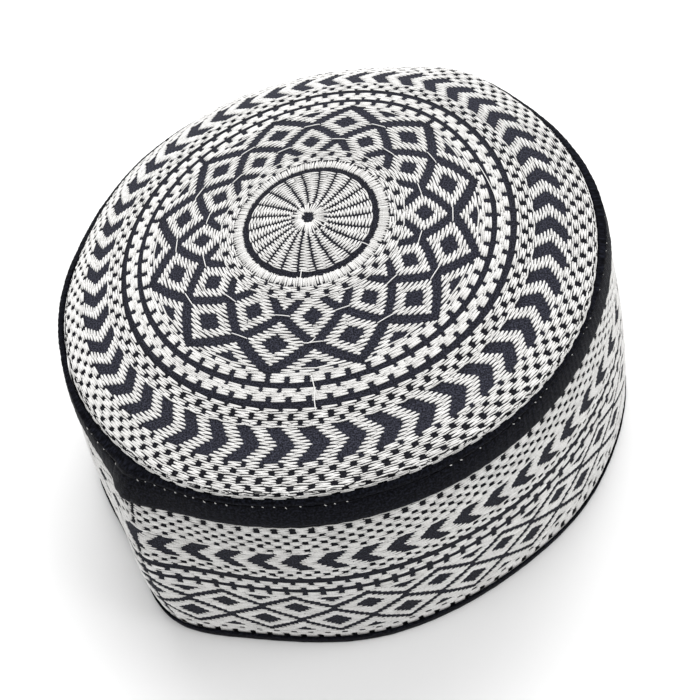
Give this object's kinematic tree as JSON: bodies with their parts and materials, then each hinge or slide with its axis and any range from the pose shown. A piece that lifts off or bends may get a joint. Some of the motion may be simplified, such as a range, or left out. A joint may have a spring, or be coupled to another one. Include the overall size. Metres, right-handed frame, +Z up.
{
  "type": "embroidered kufi cap",
  "caption": "Round kufi cap embroidered in white on black, with a domed crown, black piping at the rim and a bound hem.",
  "frame": {"origin": "bottom centre of the cap's box, on the surface that its hem rests on", "axes": "+Z up out of the crown, -Y towards the front that the picture shows, +X to the right seen from the front"},
  "size_m": [0.1926, 0.1918, 0.0929],
  "materials": {
    "embroidered_cloth": "matte",
    "black_satin": "satin"
  },
  "bodies": {
    "root": {"crown_top": "embroidered_cloth", "side_band": "embroidered_cloth", "rim_piping": "black_satin", "hem_binding": "black_satin"}
  },
  "joints": []
}
